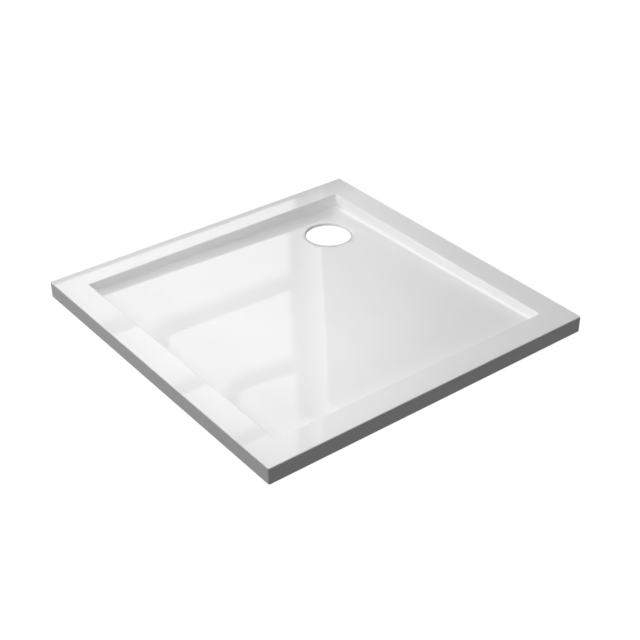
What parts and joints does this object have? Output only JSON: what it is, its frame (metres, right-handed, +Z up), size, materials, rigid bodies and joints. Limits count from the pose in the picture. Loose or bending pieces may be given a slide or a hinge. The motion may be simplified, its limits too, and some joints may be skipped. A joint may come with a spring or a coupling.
{
  "type": "shower tray",
  "caption": "Square low shower tray of white acrylic with a flat rim, a floor falling to an open corner waste hole, and levelling feet in the rim.",
  "frame": {"origin": "middle of the tray's square footprint, on the ground at the skirts' lower edge", "axes": "+Z up; +X and +Y along two sides, pointing to the sides nearest the waste hole"},
  "size_m": [0.9, 0.9, 0.04],
  "materials": {
    "acrylic": "high gloss",
    "laminate": "rough chopped-strand laminate",
    "foam": "moulded rigid foam",
    "batten": "sawn plywood",
    "zinc": "zinc plated",
    "pad": "moulded"
  },
  "bodies": {
    "root": {"tray_shell": "acrylic", "fibreglass_backing": "laminate", "foam_bed": "foam", "rim_batten_front": "batten", "rim_batten_right": "batten", "rim_batten_back": "batten", "rim_batten_left": "batten", "plate_screws": "zinc", "foot_plate_back": "zinc", "foot_nut_back": "zinc", "foot_plate_left": "zinc", "foot_nut_left": "zinc", "foot_plate_front": "zinc", "foot_nut_front": "zinc", "foot_plate_right": "zinc", "foot_nut_right": "zinc"},
    "pad_back": {"foot_pad_back": "pad"},
    "stud_back": {"foot_stud_back": "zinc"},
    "pad_left": {"foot_pad_left": "pad"},
    "stud_left": {"foot_stud_left": "zinc"},
    "pad_front": {"foot_pad_front": "pad"},
    "stud_front": {"foot_stud_front": "zinc"},
    "pad_right": {"foot_pad_right": "pad"},
    "stud_right": {"foot_stud_right": "zinc"}
  },
  "joints": [
    {"name": "foot_drop_back", "type": "slide", "parent": "root", "child": "pad_back", "axis": [0, 0, -1], "range_m": [0, 0.012]},
    {"name": "foot_turn_back", "type": "hinge", "parent": "pad_back", "child": "stud_back", "pos_m": [0.41615, 0.41615, 0.012], "axis": [0, 0, -1], "range_deg": [0, 2880]},
    {"name": "foot_drop_left", "type": "slide", "parent": "root", "child": "pad_left", "axis": [0, 0, -1], "range_m": [0, 0.012]},
    {"name": "foot_turn_left", "type": "hinge", "parent": "pad_left", "child": "stud_left", "pos_m": [-0.41615, 0.41615, 0.012], "axis": [0, 0, -1], "range_deg": [0, 2880]},
    {"name": "foot_drop_front", "type": "slide", "parent": "root", "child": "pad_front", "axis": [0, 0, -1], "range_m": [0, 0.012]},
    {"name": "foot_turn_front", "type": "hinge", "parent": "pad_front", "child": "stud_front", "pos_m": [-0.41615, -0.41615, 0.012], "axis": [0, 0, -1], "range_deg": [0, 2880]},
    {"name": "foot_drop_right", "type": "slide", "parent": "root", "child": "pad_right", "axis": [0, 0, -1], "range_m": [0, 0.012]},
    {"name": "foot_turn_right", "type": "hinge", "parent": "pad_right", "child": "stud_right", "pos_m": [0.41615, -0.41615, 0.012], "axis": [0, 0, -1], "range_deg": [0, 2880]}
  ],
  "couplings": [
    {"joint": "foot_drop_back", "follows": "foot_turn_back", "m_per_rad": 0.00023873},
    {"joint": "foot_drop_left", "follows": "foot_turn_left", "m_per_rad": 0.00023873},
    {"joint": "foot_drop_front", "follows": "foot_turn_front", "m_per_rad": 0.00023873},
    {"joint": "foot_drop_right", "follows": "foot_turn_right", "m_per_rad": 0.00023873}
  ]
}
